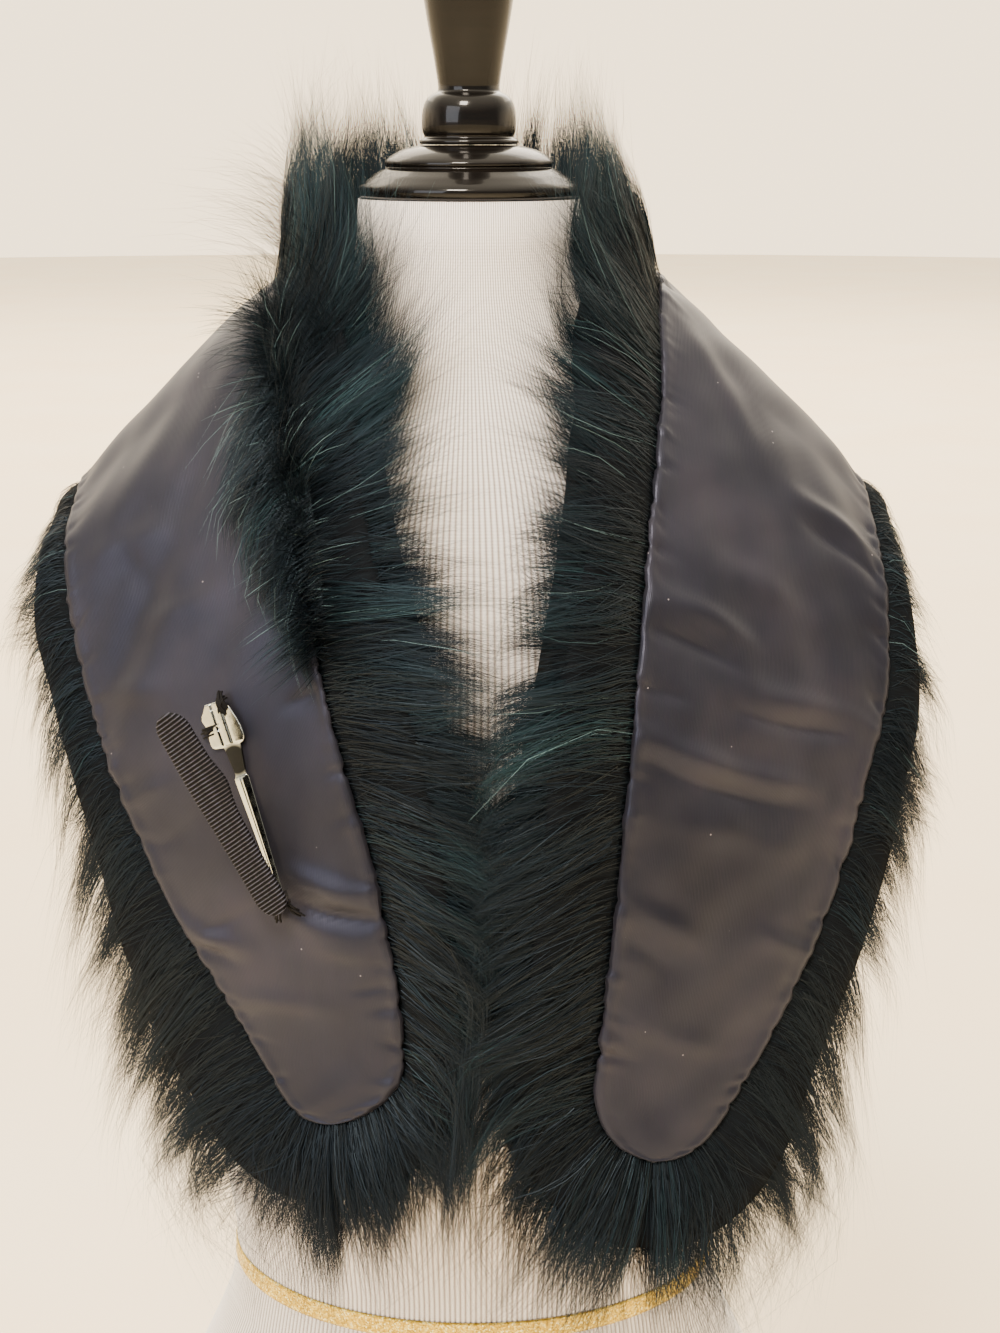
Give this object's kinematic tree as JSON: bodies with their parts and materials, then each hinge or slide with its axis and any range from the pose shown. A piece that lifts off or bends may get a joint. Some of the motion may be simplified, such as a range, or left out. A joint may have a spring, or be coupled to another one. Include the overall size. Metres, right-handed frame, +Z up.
{
  "type": "fur collar wrap on dress form",
  "caption": "Fur collar wrap worn lining side out round the neck of a limbless dress form, with a satin lining and a hinged spring clip on one front.",
  "frame": {"origin": "centre of the dress form's flat base, on the surface it stands on", "axes": "+Z up along the form's neck axis; the front faces -Y; +X is the onlooker's right"},
  "size_m": [0.401, 0.3031, 0.872],
  "materials": {
    "knit": "off-white ribbed jersey",
    "gold_ribbon": "gold glitter ribbon",
    "lacquer": "turned wood, black gloss lacquer",
    "fur": "long-haired dyed fur, dark teal and black",
    "satin": "charcoal satin lining",
    "plated_steel": "bright nickel plate",
    "grosgrain": "ribbed grosgrain ribbon"
  },
  "bodies": {
    "wrap_on_form": {"form_torso": "knit", "waist_ribbon": "gold_ribbon", "neck_cap": "lacquer", "finial": "lacquer", "fur_left": "fur", "fur_right": "fur", "lining_left": "satin", "lining_right": "satin", "clip_metal_arm": "plated_steel", "clip_pin": "plated_steel"},
    "clip_arm": {"clip_ribbon_arm": "grosgrain"}
  },
  "joints": [
    {"name": "clip_hinge", "type": "hinge", "parent": "wrap_on_form", "child": "clip_arm", "pos_m": [-0.07722, -0.14002, 0.47046], "axis": [0.8371, -0.3594, 0.4124], "range_deg": [-18, 32]}
  ]
}
